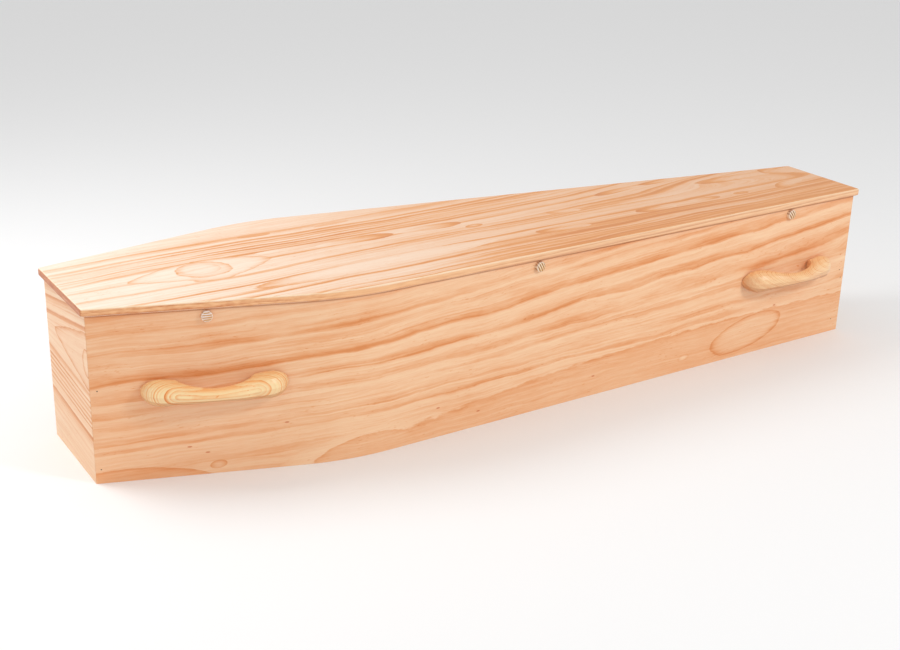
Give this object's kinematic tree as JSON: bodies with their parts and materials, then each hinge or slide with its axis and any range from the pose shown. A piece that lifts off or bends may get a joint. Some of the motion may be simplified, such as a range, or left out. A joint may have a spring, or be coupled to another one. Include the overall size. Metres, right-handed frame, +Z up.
{
  "type": "wooden coffin",
  "caption": "Six-sided pine coffin with bent shoulder sides, a flat overhanging lift-off lid, carved bow handles and small round side caps.",
  "frame": {"origin": "on the plane of the underside, below the middle of the lid in plan", "axes": "+X from the head end to the foot end, +Y to the left side of the person lying in it, +Z up through the lid"},
  "size_m": [1.958, 0.5272, 0.365],
  "materials": {
    "side_pine": "satin lacquered pine, warm peach with orange growth bands",
    "end_pine": "satin lacquered pine, pale cream with orange growth lines",
    "lid_pine": "satin lacquered pine, pale cream shading to peach, fine ovals and stripes",
    "base_pine": "plain sawn pine",
    "handle_pine": "semi-gloss carved pine, honey gold with growth rings",
    "cap_wood": "glossy striped laminated wood"
  },
  "bodies": {
    "root": {"base_board": "base_pine", "head_end_panel": "end_pine", "foot_end_panel": "end_pine", "lid": "lid_pine", "side_panel_right": "side_pine", "handle_right_head": "handle_pine", "handle_right_foot": "handle_pine", "cap_right_head": "cap_wood", "cap_right_middle": "cap_wood", "cap_right_foot": "cap_wood", "side_panel_left": "side_pine", "handle_left_head": "handle_pine", "handle_left_foot": "handle_pine", "cap_left_head": "cap_wood", "cap_left_middle": "cap_wood", "cap_left_foot": "cap_wood"}
  },
  "joints": []
}
